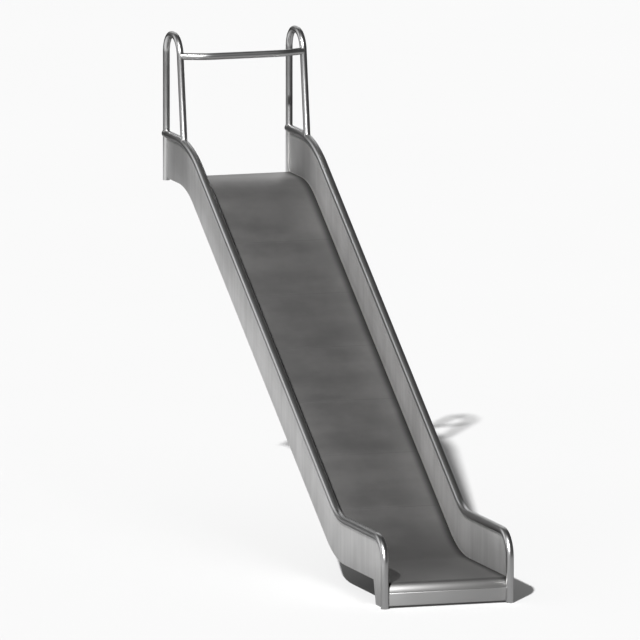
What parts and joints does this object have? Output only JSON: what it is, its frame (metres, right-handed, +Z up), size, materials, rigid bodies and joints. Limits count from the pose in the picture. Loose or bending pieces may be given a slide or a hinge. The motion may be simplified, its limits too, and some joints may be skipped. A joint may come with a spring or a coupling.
{
  "type": "straight slide",
  "caption": "Straight stainless playground slide for fixing to a platform, with side sheets, tube handrails, grab loops and a crossbar over the entry.",
  "frame": {"origin": "on the ground, at the middle of the slide's length and width", "axes": "+X across the slide to the right of a person who faces up the slope, +Y from the exit towards the platform, +Z up"},
  "size_m": [0.6678, 3.5238, 2.3328],
  "materials": {
    "bed_satin": "satin stainless sheet, brushed across the slide",
    "sheet_brushed": "brushed stainless sheet, grain upright",
    "tube_bright": "bright ground stainless tube",
    "hidden_steel": "mill finish stainless, not polished"
  },
  "bodies": {
    "root": {"bed_sheet": "bed_satin", "front_apron": "sheet_brushed", "nose_stiffener": "hidden_steel", "left_cheek": "sheet_brushed", "right_cheek": "sheet_brushed", "left_handrail": "tube_bright", "right_handrail": "tube_bright", "left_rear_post": "tube_bright", "right_rear_post": "tube_bright", "left_grab_loop": "tube_bright", "right_grab_loop": "tube_bright", "crossbar": "tube_bright", "cross_rib_1": "hidden_steel", "cross_rib_2": "hidden_steel", "cross_rib_3": "hidden_steel", "cross_rib_4": "hidden_steel", "cross_rib_5": "hidden_steel", "cross_rib_6": "hidden_steel", "exit_rib": "hidden_steel", "deck_angle": "hidden_steel", "left_rail_plug": "tube_bright", "right_rail_plug": "tube_bright", "left_post_plug": "tube_bright", "right_post_plug": "tube_bright", "left_foot_plug": "tube_bright", "right_foot_plug": "tube_bright"}
  },
  "joints": []
}
